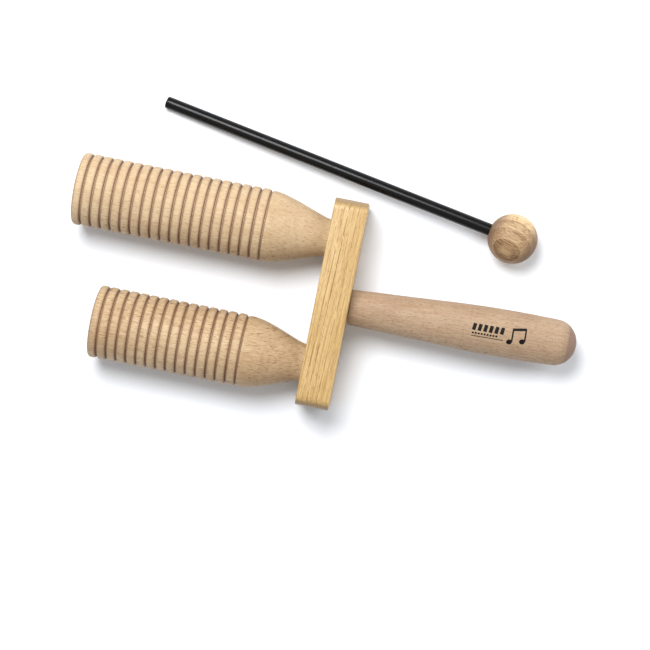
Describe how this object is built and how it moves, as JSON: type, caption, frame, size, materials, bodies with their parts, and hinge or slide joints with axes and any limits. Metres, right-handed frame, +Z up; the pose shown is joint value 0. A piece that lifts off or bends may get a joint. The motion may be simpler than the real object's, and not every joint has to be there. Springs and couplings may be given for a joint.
{
  "type": "two-tone ribbed tone block with beater",
  "caption": "Hand-held two-tone wooden tone block: ribbed hollow tubes on a crossbar with a turned handle, struck or scraped with a loose ball-headed beater.",
  "frame": {"origin": "middle of the crossbar's underside, on the surface that the instrument lies on", "axes": "+X out along the handle, away from the tubes; +Y towards the long tube; +Z up, away from the surface"},
  "size_m": [0.2563, 0.1371, 0.0362],
  "materials": {
    "tube_wood": "satin",
    "crossbar_wood": "satin",
    "handle_wood": "satin",
    "dowel_wood": "raw, fluted",
    "beater_rod_plastic": "satin",
    "beater_ball_wood": "satin"
  },
  "bodies": {
    "instrument": {"long_tube": "tube_wood", "short_tube": "tube_wood", "crossbar": "crossbar_wood", "handle": "handle_wood", "long_tube_dowel": "dowel_wood", "short_tube_dowel": "dowel_wood", "handle_dowel": "dowel_wood"},
    "beater": {"beater_rod": "beater_rod_plastic", "beater_ball": "beater_ball_wood"}
  },
  "joints": [
    {"name": "beater_lift", "type": "slide", "parent": "instrument", "child": "beater", "axis": [0, 0, 1], "range_m": [0, 0.12]}
  ]
}
